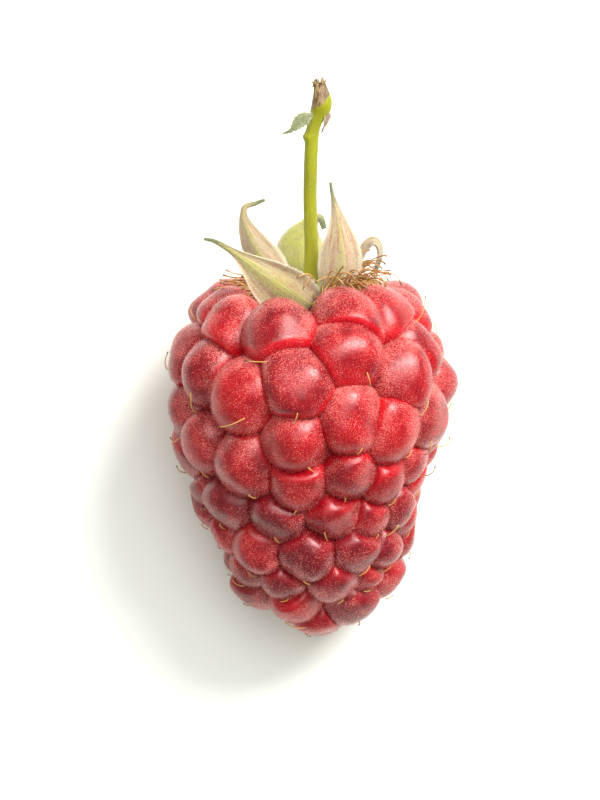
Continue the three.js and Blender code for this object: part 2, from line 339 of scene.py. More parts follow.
# Each row of drupelets: the seen ones as [angle from the front, depth below the calyx, radius,
# bearing of its style (0 to the stem, 90 to the right), length of its style], then how many more
# close the row behind, and their depth and radius.
fruitRows = [
    {"seen": [[-77, 2.5, 2.1, 300, 1.2], [-55, 3.2, 2.4, 200, 0.8], [-17, 3.2, 2.9, 252, 3.0],
              [25, 2.3, 2.75, 150, 0.8], [57, 2.3, 2.4, 56, 2.8], [82, 2.7, 2.1, 196, 1.3]],
     "behind": 5, "depth": 3.2, "size": 2.25},
    {"seen": [[-80, 5.7, 2.4, 45, 1.5], [-57, 6.1, 2.4, 182, 2.2], [-6, 6.1, 2.8, 180, 1.0],
              [17, 4.3, 2.8, 165, 1.3], [50, 6.3, 2.5, 162, 1.4], [64, 4.9, 2.3, 150, 1.2],
              [86, 7.9, 2.2, 162, 1.8]],
     "behind": 6, "depth": 6.7, "size": 2.1},
    {"seen": [[-75, 10.1, 2.2, 232, 2.8], [-32, 7.2, 2.6, 246, 2.4], [-6, 10.2, 2.5, 145, 1.9],
              [18, 8.7, 2.4, 190, 0.7], [41, 10.0, 2.4, 215, 0.8], [67, 9.9, 2.3, 158, 1.7],
              [84, 11.4, 1.9, 122, 2.6]],
     "behind": 6, "depth": 10.3, "size": 2.1},
    {"seen": [[-84, 12.9, 2.45, 238, 1.5], [-60, 11.7, 2.4, 185, 1.0], [-34, 12.6, 2.5, 150, 0.8],
              [-6, 13.5, 2.3, 200, 1.0], [20, 13.1, 2.2, 178, 1.4], [42, 14.0, 2.0, 200, 0.9],
              [62, 13.2, 1.8, 118, 2.4], [72, 14.9, 1.8, 170, 0.9]],
     "behind": 7, "depth": 13.7, "size": 1.9},
    {"seen": [[-78, 15.8, 2.15, 150, 1.5], [-52, 16.2, 2.3, 212, 1.0], [-18, 16.6, 2.2, 180, 0.8],
              [13, 16.4, 2.2, 182, 2.1], [38, 17.2, 1.8, 165, 1.3], [59, 16.6, 2.0, 200, 1.8],
              [74, 18.4, 1.8, 165, 1.0]],
     "behind": 6, "depth": 17.0, "size": 1.9},
    {"seen": [[-84, 17.2, 2.3, 215, 0.7], [-66, 19.3, 1.8, 230, 0.7], [-35, 19.7, 2.2, 205, 1.3],
              [-2, 20.0, 2.2, 160, 0.7], [31, 19.8, 2.1, 178, 1.3], [57, 20.3, 1.9, 181, 1.4]],
     "behind": 6, "depth": 20.0, "size": 2.05},
    {"seen": [[-84, 22.5, 1.35, 240, 0.7], [-56, 22.1, 1.7, 268, 1.2], [-22, 22.3, 2.0, 190, 0.7],
              [18, 22.2, 2.1, 170, 0.6], [50, 22.6, 1.6, 150, 0.6], [80, 21.8, 1.4, 130, 0.8]],
     "behind": 4, "depth": 22.5, "size": 1.95},
    {"seen": [[-72, 24.0, 2.0, 230, 0.6], [-17, 24.6, 2.0, 122, 1.9], [54, 24.8, 2.3, 160, 0.7],
              [88, 23.0, 2.4, 120, 0.7]],
     "behind": 3, "depth": 24.7, "size": 1.85},
    {"seen": [[26, 26.6, 2.0, 190, 0.6]], "behind": 1, "depth": 26.4, "size": 1.7},
]
fruit = {
    "shoulderDepth": 8.6,
    "shoulderReach": 9.3,
    "shoulderFall": 0.06,
    "tipLength": 18.4,
    "waist": 0.6,  # how much slimmer it is half way down to the tip
    "waistDepth": 16,
    "waistSpread": 3.5,
    "hiddenBearing": (150, 210),  # of the styles behind
    "hiddenLength": (0.6, 1.8),
    "neighbours": 11,
    "swell": (1.1, 1.16, 1.3),  # a drupelet's half-sizes outwards, round the fruit and along it
    "overlap": 0.5,  # how far a drupelet lies over the next one down, low on the fruit
    "overlapTurn": 9,  # the depth above which it lies under it instead
    "overlapSpread": 3.5,
    "pressing": 12,  # higher presses neighbours together with sharper creases
    "closeness": 1.15,  # over 1, neighbours meet in a shallow crease, not a gap
    "lumps": 0.032,
    "lumpPitch": 4.2,
    "lumpWaves": 4,
    "leastFacing": 0.04,  # a direction's share towards a wall or the table counts as at least this
    "leastWall": 0.3,
    "rings": 34,
    "sides": 60,
    # painted glow: the brighter red that the creases take, standing in for light shining through the flesh
    "paintedCreaseGlowColour": (0.56, 0.001, 0.010),
    "skinColour": (0.39, 0.0005, 0.005),
    "darkColour": (0.14, 0.0005, 0.006),
    "bloomColour": (0.82, 0.30, 0.27),
    "frost": 0.56,  # how much of the pale bloom shows
    "cloudScale": 650,
    "grainScale": 11500,
    "bump": (0.6, 0.00012),
    "finish": {
        "Subsurface Weight": 0.5,
        "Subsurface Radius": (1.0, 0.1, 0.08),
        "Subsurface Scale": 0.0014,
        "Sheen Weight": 0.08,
        "Sheen Roughness": 0.22,
        "Sheen Tint": (1, 0.5, 0.45, 1),
        "Specular IOR Level": 0.5,
        "Specular Tint": (1, 0.8, 0.78, 1),
    },
}
bloom = {
    "body": 0.3,
    # painted sheen: the lean, the low rows and the rim make the bloom paler, and the hairs more, where the
    # down is seen at a grazing angle
    "lean": 0.34,  # more on one side of a drupelet: the stem's on the upper rows, the tip's on the lower
    "leanTurn": 3.5,  # the row where that changes over
    "lowRow": 4.5,
    "low": 0.2,  # more from that row down
    "rim": 0.6,
    "inCreases": 0.35,  # the share that is left there
}
# The painted red glow in the creases: where it starts on the way to a neighbour's wall, how sharply it
# rises, and how much of it fades from row fadeRow over fadeRows rows down; tint darkens the skin of those
# lower rows.
paintedCreaseGlow = {"from": 0.89, "power": 1.5, "fade": 0.85, "fadeRow": 1.5, "fadeRows": 2.5, "tint": 0.3}


# How far out the drupelets' centres stand at a depth below the calyx, with b the depth below the
# shoulder: reach - fall b^2 above it, and reach sqrt(1 - (b / tip)^1.5) less the waist under it.
def reachAt(depth):
    below = depth - fruit["shoulderDepth"]
    upper = fruit["shoulderReach"] - fruit["shoulderFall"] * below**2
    closing = np.clip(below / fruit["tipLength"], 0, 1) ** 1.5
    slimmer = fruit["waist"] * swelling(depth, fruit["waistDepth"], fruit["waistSpread"])
    lower = fruit["shoulderReach"] * np.sqrt(1 - closing) - slimmer
    return np.where(below < 0, upper, lower)


# A row's drupelets as [angle, depth, radius, style bearing, style length, row number]. The ones
# behind share out evenly the angle that the seen ones leave.
def rowOfDrupelets(number, row):
    seen = row["seen"]
    share = (np.arange(row["behind"]) + 1) / (row["behind"] + 1)
    angles = seen[-1][0] + (seen[0][0] + 360 - seen[-1][0]) * share
    bearings, lengths = fruit["hiddenBearing"], fruit["hiddenLength"]
    behind = [[a, row["depth"], row["size"], rng.uniform(*bearings), rng.uniform(*lengths)] for a in angles]
    return [[*values, number] for values in seen + behind]


# The drupelets' centres, axes and walls. The wall between two of radii r and q, a distance h apart,
# stands h / 2 + (r^2 - q^2) / (2 h) from the first's centre, and leans by the overlap.
def placeDrupelets():
    rows = [rowOfDrupelets(number, row) for number, row in enumerate(fruitRows)]
    angle, depth, size, bearing, length, row = np.array(sum(rows, [])).T
    angle = np.radians(angle)
    slope = np.arctan2(reachAt(depth - 0.5) - reachAt(depth + 0.5), 1.0)
    reach = reachAt(depth)
    centre = laid(np.stack([reach * np.sin(angle), -reach * np.cos(angle), -depth], -1))
    level = np.cos(slope)
    out = turned(np.stack([np.sin(angle) * level, -np.cos(angle) * level, -np.sin(slope)], -1))
    stemward = turned((0, 0, 1))
    across = unit(np.cross(out, stemward))  # round the fruit
    down = np.cross(out, across)  # along it, towards the tip
    down = down * np.sign(-np.einsum("bk,k->b", down, stemward))[:, None]
    gap = centre[None] - centre[:, None]
    distance = np.linalg.norm(gap, axis=-1) + 1e3 * np.eye(len(centre))  # none is its own neighbour
    nearest = np.argsort(distance, axis=1)[:, : fruit["neighbours"]]
    far = np.take_along_axis(distance, nearest, 1)
    way = np.take_along_axis(gap, nearest[..., None], 1) / far[..., None]
    share = far / 2 + (size[:, None] ** 2 - size[nearest] ** 2) / (2 * far)
    between = unit(out[:, None] + out[nearest])
    lower = np.einsum("bnk,k->bn", way, -stemward)
    below = (depth[:, None] + depth[nearest]) / 2 - fruit["overlapTurn"]
    overlap = fruit["overlap"] * np.clip(below / fruit["overlapSpread"], -1, 1) * lower
    leaning = unit(way - overlap[..., None] * between)
    wall = fruit["closeness"] * share * np.einsum("bnk,bnk->bn", way, leaning)
    count, waves = len(size), fruit["lumpWaves"]
    return {
        "centre": centre, "out": out, "across": across, "down": down, "size": size,
        "row": row.astype(int), "bearing": np.radians(bearing), "length": length,
        "way": leaning, "wall": wall,
        "ripple": unit(rng.normal(size=(count, waves, 3))),
        "phase": rng.uniform(0, 2 * np.pi, (count, waves)),
        "tint": rng.random(count),
    }


# How far a drupelet's skin stands from its centre along each direction d: the soft minimum
# (sum of k^-p)^(-1/p) of its own lumpy ellipsoid's radius, of the distance h / (d . u) to the wall
# that it shares with each neighbour, and of the distance to the table. Nearness is the greatest
# share of the way to a neighbour's wall that the skin has come, 1 where the two skins meet.
def skinRadius(berries, d):
    own = sum(
        (np.einsum("bnk,bk->bn", d, berries[axis]) / swell) ** 2
        for axis, swell in zip(("out", "across", "down"), fruit["swell"])
    )
    own = berries["size"][:, None] / np.sqrt(own)
    wave = np.einsum("bnk,bwk->bnw", d, berries["ripple"])
    lumps = np.sin(fruit["lumpPitch"] * wave + berries["phase"][:, None]).sum(-1)
    own = own * (1 + fruit["lumps"] * lumps)
    toward = np.einsum("bnk,bwk->bnw", d, berries["way"])
    wall = berries["wall"][:, None] / np.maximum(toward, fruit["leastFacing"])
    table = berries["centre"][:, None, 2] / np.maximum(-d[..., 2], fruit["leastFacing"])
    p = fruit["pressing"]
    radius = (own**-p + (np.maximum(wall, fruit["leastWall"]) ** -p).sum(-1) + table**-p) ** (-1 / p)
    nearness = radius * (fruit["closeness"] * toward / berries["wall"][:, None]).max(-1)
    return radius, nearness


# Directions about each drupelet's own axis: out cos t + (across cos f + down sin f) sin t.
def directions(berries, t, f):
    return (
        berries["out"][:, None] * np.cos(t)[..., None]
        + berries["across"][:, None] * (np.cos(f) * np.sin(t))[..., None]
        + berries["down"][:, None] * (np.sin(f) * np.sin(t))[..., None]
    )


# The same values for some of the drupelets only.
def picked(berries, chosen):
    return {key: values[chosen] for key, values in berries.items()}


# Dark to bright red in soft clouds, brightest in the creases, where a painted red glow stands in for light
# shining through the flesh, under a broken pale bloom that shows where the grain and the felt together pass
# a level.
def drupeletMaterial():
    material, tree, shader = newMaterial("drupelet skin")
    tint = attribute(tree, "tint")
    cloud = noise(tree, fruit["cloudScale"], 3)
    fine = noise(tree, fruit["grainScale"], 3, 0.7)
    grain = ranged(tree, fine, 0.4, 0.6, 0.3, 1.1)
    # painted glow: the crease mask, broken by the grain, brings in the bright crease red
    brokenPaintedGlow = combined(tree, "MULTIPLY", grain, attribute(tree, "paintedCreaseGlow"))
    blotch = combined(tree, "ADD", tint, ranged(tree, cloud, 0.3, 0.7, -0.35, 0.35))
    skin = mixed(tree, blotch, fruit["skinColour"], fruit["darkColour"])
    red = mixed(tree, brokenPaintedGlow, skin, fruit["paintedCreaseGlowColour"])
    # the felt carries painted sheen at each drupelet's sides as well as its down
    cover = combined(tree, "ADD", attribute(tree, "felt"), ranged(tree, cloud, 0.3, 0.7, 0.4, -0.4))
    speck = combined(tree, "ADD", fine, combined(tree, "MULTIPLY", cover, 0.13))
    veil = ranged(tree, speck, 0.615, 0.67, 0.0, fruit["frost"])
    colour = mixed(tree, veil, red, fruit["bloomColour"])
    tree.links.new(colour, shader.inputs["Base Color"])
    tree.links.new(ranged(tree, fine, 0.35, 0.65, 0.14, 0.3), shader.inputs["Roughness"])
    setSockets(shader, fruit["finish"])
    relief = combined(tree, "ADD", cloud, combined(tree, "MULTIPLY", fine, 0.25))
    bumped(tree, shader, relief, *fruit["bump"])
    return material


# How downy a skin is, with painted sheen: body + lean (d . down) + low, and more at the rim, 1.7 - 2 (d .
# out), all of it less in the creases. The lean, the low rows and the rim are painted sheen, a paler bloom
# where the down is seen at a grazing angle, and they also set how many hairs grow there. The lean turns
# from the stem's side to the tip's between the rows.
def feltAndPaintedSheen(berries, d, nearness):
    row = berries["row"][:, None]
    lean = bloom["lean"] * np.clip((row - bloom["leanTurn"]) / 2, -1, 1)
    low = bloom["low"] * np.clip((row - bloom["lowRow"]) / 2, 0, 1)
    body = bloom["body"] + lean * np.einsum("bnk,bk->bn", d, berries["down"]) + low
    # painted sheen: paler bloom towards each drupelet's sides, where the down is seen edge-on
    rim = np.clip(1.7 - 2 * np.einsum("bnk,bk->bn", d, berries["out"]), 0, 1)
    openness = np.clip((1.02 - nearness) / 0.1, bloom["inCreases"], 1)
    return openness * (np.clip(body, 0, 1) + bloom["rim"] * rim)


# One piece for each row: every drupelet's points are centre + radius d over all directions d. For
# the map, a drupelet is a disc of radius 0.49 sin(t / 2) in its own square.
def makeDrupelets(berries, material):
    rings, sides = fruit["rings"], fruit["sides"]
    t = np.linspace(0, np.pi, rings + 2)[1:-1]
    f = np.linspace(0, 2 * np.pi, sides, endpoint=False)
    tGrid, fGrid = (grid.reshape(-1) for grid in np.meshgrid(t, f, indexing="ij"))
    tGrid, fGrid = np.append(tGrid, (0, np.pi)), np.append(fGrid, (0, 0))
    quads, tris = tubeFaces(rings, sides)
    per = len(tGrid)
    for row in range(len(fruitRows)):
        some = picked(berries, berries["row"] == row)
        count = len(some["size"])
        t, f = np.tile(tGrid, (count, 1)), np.tile(fGrid, (count, 1))
        d = directions(some, t, f)
        radius, nearness = skinRadius(some, d)
        points = some["centre"][:, None] + radius[..., None] * d
        # painted glow: the skin turns bright red as it nears a neighbour's wall, less so in the lower rows
        low = np.clip((row - paintedCreaseGlow["fadeRow"]) / paintedCreaseGlow["fadeRows"], 0, 1)
        paintedGlow = np.clip((nearness - paintedCreaseGlow["from"]) / (1 - paintedCreaseGlow["from"]), 0, 1) ** paintedCreaseGlow["power"]
        columns = int(np.ceil(np.sqrt(count)))
        tile = np.stack([np.arange(count) % columns, np.arange(count) // columns], -1)[:, None]
        disc = np.stack([np.cos(f), np.sin(f)], -1) * 0.49 * np.sin(t / 2)[..., None]
        piece = makePiece(
            f"drupelets_row_{row + 1}",
            points.reshape(-1, 3),
            [repeated(quads, count, per), repeated(tris, count, per)],
            material,
            {
                "paintedCreaseGlow": (1 - paintedCreaseGlow["fade"] * low) * paintedGlow,
                "tint": np.repeat((1 - paintedCreaseGlow["tint"]) * some["tint"] + paintedCreaseGlow["tint"] * low, per),
                "felt": feltAndPaintedSheen(some, d, nearness),
            },
            bakeUv=((tile + 0.5 + disc) / columns).reshape(-1, 2),
        )
        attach(piece, "root")
        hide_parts("fruit")
    print("drupelets:", len(berries["size"]))


down = {
    "hairs": 1500,  # for each drupelet, before the bare places are left out
    "length": 0.22,
    "radius": 0.0085,
    "lean": 0.5,
    "reach": 1.7,  # the angle from the drupelet's axis that they come to
    "everywhere": 0.05,
    "sunk": 0.03,
    "lowest": 0.02,
    "bareFrom": 0.96,  # the nearness to a crease
    "bareUnder": 0.35,  # the height over the table
    "colour": (0.95, 0.33, 0.29),
    "toneScale": 700,
    "darker": 0.86,
    "finish": {"Roughness": 0.6, "Specular IOR Level": 0.3},
}
style = {
    "radius": 0.045,
    "knob": 1.9,
    "steps": 12,
    "sides": 6,
    "rootAngle": 0.75,  # from the drupelet's axis
    "rootSpread": 0.7,
    "colour": (0.48, 0.26, 0.065),
    "tipColour": (0.10, 0.055, 0.025),
    "grainScale": 2500,
    "bump": (0.3, 0.00003),
    "finish": {"Roughness": 0.5, "Subsurface Weight": 0.2, "Subsurface Scale": 0.0002},
}


# Places on the drupelets' skins at angles t and f, with the skins' normals from the cross product
# of two small steps along the skin.
def onSkin(berries, t, f):
    step = 0.02

    def place(t, f):
        d = directions(berries, t, f)
        radius, nearness = skinRadius(berries, d)
        return berries["centre"][:, None] + radius[..., None] * d, nearness

    here, nearness = place(t, f)
    outer, _ = place(t + step, f)
    beside, _ = place(t, f + step / np.maximum(np.sin(t), 0.1))
    normal = unit(np.cross(outer - here, beside - here))
    facing = np.einsum("bnk,bnk->bn", normal, here - berries["centre"][:, None])
    return here, normal * np.sign(facing)[..., None], nearness


# A pale hair, a little darker in places.
def downMaterial(name, pale):
    material, tree, shader = newMaterial(name)
    tone = ranged(tree, noise(tree, down["toneScale"], 2), 0.3, 0.7)
    colour = mixed(tree, tone, pale, tuple(down["darker"] * c for c in pale))
    tree.links.new(colour, shader.inputs["Base Color"])
    setSockets(shader, down["finish"])
    return material


# Hairs are spread evenly over each skin's directions (cos t is even), thinned by the felt, leaned
# away from its top, and left out of the creases and under the fruit.
def makeDown(berries, material):
    for row in range(len(fruitRows)):
        some = picked(berries, berries["row"] == row)
        count = len(some["size"])
        shape = (count, down["hairs"])
        t = np.arccos(rng.uniform(np.cos(down["reach"]), 1, shape))
        f = rng.uniform(0, 2 * np.pi, shape)
        roots, normals, nearness = onSkin(some, t, f)
        top = some["centre"] + some["out"] * some["size"][:, None]
        outward = unit(roots - top[:, None])
        lean = 0.5 * outward + 0.45 * rng.normal(size=roots.shape)
        felt = feltAndPaintedSheen(some, directions(some, t, f), nearness)
        free = rng.random(shape) < down["everywhere"] + felt
        free = free & (nearness < down["bareFrom"]) & (roots[..., 2] > down["bareUnder"])
        roots, normals, lean = roots[free], normals[free], lean[free]
        ways = unit(normals + down["lean"] * lean)
        lengths = down["length"] * rng.uniform(0.55, 1.3, len(roots))
        width = down["radius"] * rng.uniform(0.7, 1.2, len(roots))
        points, faces, uv = hairs(roots - down["sunk"] * normals, ways, lengths, width)
        points[:, 2] = np.maximum(points[:, 2], down["lowest"])
        piece = makePiece(f"down_row_{row + 1}", points, faces, material, bakeUv=uv)
        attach(piece, "root")
    print("down ready")


# Straw with a dark knob at the end.
def styleMaterial():
    material, tree, shader = newMaterial("dry style")
    along = attribute(tree, "along")
    grain = ranged(tree, noise(tree, style["grainScale"], 3), 0.3, 0.7)
    straw = mixed(tree, grain, style["colour"], tuple(1.25 * c for c in style["colour"]))
    colour = mixed(tree, ranged(tree, along, 0.86, 0.95), straw, style["tipColour"])
    tree.links.new(colour, shader.inputs["Base Color"])
    setSockets(shader, style["finish"])
    bumped(tree, shader, grain, *style["bump"])
    return material


# Each style springs from the side of its drupelet towards the tip and runs off along its bearing:
# p = root + l (forward s + sideways s sin 2.4 s) + up (0.12 + l 0.35 sin(pi s) / 3 - 0.55 drop),
# with l its length and the drop (l s)^2 / (4.6 r) that of the skin under it.
def makeStyles(berries, material):
    count = len(berries["size"])
    t = np.full((count, 1), style["rootAngle"])
    spread = style["rootSpread"]
    f = np.full((count, 1), np.pi / 2) + rng.uniform(-spread, spread, (count, 1))
    root, normal, _ = onSkin(berries, t, f)
    root, normal = root[:, 0], normal[:, 0]
    heading = np.stack([np.sin(berries["bearing"]), np.cos(berries["bearing"]), np.zeros(count)], -1)
    heading = unit(heading - normal * np.einsum("bk,bk->b", heading, normal)[:, None])
    sideways = np.cross(normal, heading) * rng.uniform(-0.35, 0.35, (count, 1))
    s = np.linspace(0, 1, style["steps"])[None, :, None]
    length = berries["length"][:, None, None]
    curve = root[:, None] + length * (heading[:, None] * s + sideways[:, None] * np.sin(2.4 * s) * s)
    drop = (length * s) ** 2 / (4.6 * berries["size"][:, None, None])
    curve = curve + normal[:, None] * (0.12 + 0.35 * np.sin(np.pi * s) * length / 3 - 0.55 * drop)
    curve[..., 2] = np.maximum(curve[..., 2], 0.15)
    s = np.linspace(0, 1, style["steps"])
    radii = style["radius"] * (1.15 - 0.4 * s + (style["knob"] - 1) * swelling(s, 0.97, 0.05))
    points, faces, along, _ = rods(curve, np.tile(radii, (count, 1)), style["sides"])
    piece = makePiece("styles", points, faces, material, {"along": along})
    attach(piece, "root")
    print("styles ready")


heart = {"steps": 30, "sides": 48, "depths": (1.9, 26.0), "ends": (1.7, 26.6), "inside": 0.25, "tint": 0.5}


# The flesh under the creases: a turned solid out to a little inside the drupelets' centres.
def makeHeart(material):
    steps, sides = heart["steps"], heart["sides"]
    depth = np.linspace(*heart["depths"], steps)
    reach = reachAt(depth) - heart["inside"]
    angle = np.linspace(0, 2 * np.pi, sides, endpoint=False)
    ring = np.stack([np.sin(angle), -np.cos(angle)], -1)
    points = np.concatenate(
        [reach[:, None, None] * ring, np.broadcast_to(-depth[:, None, None], (steps, sides, 1))], -1
    ).reshape(-1, 3)
    points = laid(np.vstack([points, [(0, 0, -end) for end in heart["ends"]]]))
    # The heart takes half the painted crease glow and a middling tone.
    values = np.full(len(points), heart["tint"])
    numbers = {"paintedCreaseGlow": values, "tint": values}
    piece = makePiece("heart", points, list(tubeFaces(steps, sides)), material, numbers)
    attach(piece, "root")
    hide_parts("fruit")


stalk = {
    # [right, front, up the stem] from the calyx
    "path": [[0.15, 0, -0.9], [0.15, 0, 0.6], [0.1, 0, 2.8], [0, 0, 6.9], [0.1, 0, 11.0], [0.25, 0, 12.7],
             [0.62, 0, 13.8], [0.95, 0, 14.8], [0.78, 0, 15.8], [0.62, 0, 16.35]],
    "radius": 0.54,
    # [how much thicker, its share of the way up, how far it spreads]
    "head": [0.27, 0.9, 0.055],
    "node": [0.2, 0.74, 0.017],
    "flare": [0.35, 0, 0.12],
    "disc": 2.6,  # how much wider it is inside the calyx
    "discReach": 0.055,
    "scarFrom": 0.895,
    "scab": [0.75, 0.8, 0.075],  # how brown, and its place and spread
    # painted light: how much paler the foot is made where the sepals shade it
    "foot": [0.8, 0, 0.3],  # how pale, and its place and spread
    "steps": 150,
    "sides": 48,
    "splinters": 16,
    "splinterRadii": (0.06, 0.055, 0.05, 0.04, 0.02),
    "splinterSides": 5,
    "hairs": 1700,
    "hairLength": 0.13,
    "hairRadius": 0.0065,
    "colour": (0.27, 0.28, 0.006),
    "shadeColour": (0.21, 0.21, 0.006),
    # painted light at the foot, against the sepals' shade
    "paintedLightFootColour": (0.46, 0.44, 0.035),
    "barkColour": (0.11, 0.06, 0.024),
    "barkPaleColour": (0.32, 0.22, 0.10),
    "streakScale": 1500,
    "grainScale": 6000,
    "bump": (0.6, 0.0001),
    "finish": {
        "Subsurface Weight": 0.25,
        "Subsurface Radius": (0.7, 0.8, 0.2),
        "Subsurface Scale": 0.0004,
        "Specular IOR Level": 0.3,
    },
}


# [right, front, up] as (right, back, up)
def upright(points):
    return np.asarray(points, float) * (1, -1, 1)


# Streaked green, with painted light making the foot paler where the sepals shade it, under brown bark where
# the bark attribute and the streaks together pass a level.
def stalkMaterial():
    material, tree, shader = newMaterial("green stalk")
    streak = noise(tree, stalk["streakScale"], 4, 0.6, (1, 0.12, 1))
    grain = noise(tree, stalk["grainScale"], 3, 0.6, (1, 0.3, 1))
    green = mixed(tree, ranged(tree, streak, 0.38, 0.66), stalk["colour"], stalk["shadeColour"])
    # painted light: the foot paler, against the shade that the sepals cast
    green = mixed(tree, attribute(tree, "foot"), green, stalk["paintedLightFootColour"])
    bark = mixed(tree, ranged(tree, grain, 0.4, 0.65), stalk["barkColour"], stalk["barkPaleColour"])
    edge = combined(tree, "ADD", attribute(tree, "bark"), ranged(tree, streak, 0.3, 0.7, -0.2, 0.2))
    colour = mixed(tree, ranged(tree, edge, 0.42, 0.58), green, bark)
    tree.links.new(colour, shader.inputs["Base Color"])
    tree.links.new(ranged(tree, grain, 0.3, 0.7, 0.4, 0.65), shader.inputs["Roughness"])
    setSockets(shader, stalk["finish"])
    relief = combined(tree, "ADD", streak, combined(tree, "MULTIPLY", grain, 0.5))
    bumped(tree, shader, relief, *stalk["bump"])
    return material


# The radius at a share s of the way up and an angle round: r (1 + low ridges) plus a disc,
# disc exp(-(s / reach)^2.4), and swellings for its flare, the head and the node, with knots near the
# top. Bark covers the cut end, as far down as the scar, and a scab on one side.
def stalkForm(s, angle):
    flare = stalk["disc"] * np.exp(-((s / stalk["discReach"]) ** 2.4))
    size, *place = stalk["flare"]
    flare = flare + size * swelling(s, *place)
    size, *place = stalk["head"]
    head = size * swelling(s, *place) - 0.1 * np.clip((s - 0.93) / 0.07, 0, 1)
    size, *place = stalk["node"]
    node = size * swelling(s, *place) * np.clip(-np.cos(angle), 0, 1)
    ridges = 0.02 * np.sin(5 * angle + 6 * s) + 0.012 * np.sin(9 * angle - 14 * s)
    knots = 0.10 * np.clip((s - 0.84) / 0.1, 0, 1) * np.sin(3 * angle + 30 * s) * np.sin(22 * s + 2)
    radius = stalk["radius"] * (1 + ridges) + flare * (1 + 0.02 * np.sin(10 * angle)) + head + node + knots
    scar = np.clip((s - stalk["scarFrom"] - 0.045 * np.cos(angle)) / 0.02, 0, 1)
    most, *place = stalk["scab"]
    scab = swelling(s, *place) * np.clip(-2 * np.cos(angle) - 1.1, 0, most)
    return radius, np.maximum(scar + scab, np.clip((s - 0.955) / 0.02, 0, 1))


# Rings p + radius (right cos a + front sin a) up the path, with the last ones drawn out unevenly
# along it to a ragged end.
def makeStalk(material, hairMaterial):
    steps, sides = stalk["steps"], stalk["sides"]
    path = laid(smoothPath(upright(stalk["path"]), steps))
    s = np.linspace(0, 1, steps)[:, None]
    angle = np.linspace(0, 2 * np.pi, sides, endpoint=False)[None]
    radius, bark = stalkForm(s, angle)
    tangent = unit(np.gradient(path, axis=0))
    right = unit(np.cross(tangent, (0, 0, 1.0)))
    front = np.cross(right, tangent)
    ring = right[:, None] * np.cos(angle)[..., None] + front[:, None] * np.sin(angle)[..., None]
    points = path[:, None] + ring * radius[..., None]
    ragged = 0.35 * np.sin(3 * angle + 1) + 0.2 * np.sin(7 * angle) + 0.12 * np.sin(13 * angle + 2)
    points = points + tangent[:, None] * (ragged * np.clip((s - 0.965) / 0.035, 0, 1) ** 2)[..., None]
    # painted light: the foot's paleness, against the sepals' shade
    pale, *place = stalk["foot"]
    foot = np.broadcast_to(pale * swelling(s, *place), bark.shape).reshape(-1)
    ends = np.stack([path[0], path[-1] - 0.25 * tangent[-1]])  # the top one sunk in, as a hollow
    numbers = {"bark": np.append(bark.reshape(-1), (0, 1)), "foot": np.append(foot, (pale, 0))}
    points = np.vstack([points.reshape(-1, 3), ends])
    piece = makePiece("stalk", points, list(tubeFaces(steps, sides)), material, numbers)
    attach(piece, "root")
    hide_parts("pedicel")
    makeFibres(path[-1], tangent[-1], right[-1], front[-1], material)

    count = stalk["hairs"]
    place = rng.integers(int(0.05 * steps), int(0.87 * steps), count)
    turn = rng.integers(0, sides, count)
    roots = path[place] + ring[place, turn] * radius[place, turn][:, None]
    ways = unit(ring[place, turn] + 0.4 * rng.normal(size=(count, 3)))
    sizes = stalk["hairLength"], stalk["hairRadius"]
    coat(roots, ways, sizes, "down_on_stalk", hairMaterial)
    print("stalk ready")


# Torn fibres round the cut end: p = start + way t + bend t^2, none higher than the CAD's top.
def makeFibres(end, tangent, right, front, material):
    count = stalk["splinters"]
    turn = rng.uniform(0, 2 * np.pi, count)
    rim = right * np.cos(turn)[:, None] + front * np.sin(turn)[:, None]
    t = np.linspace(0, 1, len(stalk["splinterRadii"]))[None, :, None]
    start = end + rim * rng.uniform(0.1, 0.5, (count, 1)) - 0.2 * tangent
    way = tangent + 0.6 * rim + rng.normal(size=(count, 3)) * 0.5
    fibres = start[:, None] + way[:, None] * t * rng.uniform(0.25, 0.5, (count, 1, 1))
    fibres = fibres + rng.normal(size=(count, 1, 3)) * 0.12 * t**2
    fibres[:, -1] = np.minimum(fibres[:, -1], np.array(cadBox[1]) / metre)
    radii = np.tile(stalk["splinterRadii"], (count, 1))
    points, faces, _, _ = rods(fibres, radii, stalk["splinterSides"])
    piece = makePiece("torn_fibres", points, faces, material, {"bark": np.ones(len(points))})
    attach(piece, "root")


# One piece of hairs, whose lengths and radii vary about the two sizes.
def coat(roots, ways, sizes, name, material):
    count = len(roots)
    lengths = sizes[0] * rng.uniform(0.5, 1.4, count)
    radii = sizes[1] * rng.uniform(0.7, 1.2, count)
    points, faces, uv = hairs(roots, ways, lengths, radii)
    piece = makePiece(name, points, faces, material, bakeUv=uv)
    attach(piece, "root")


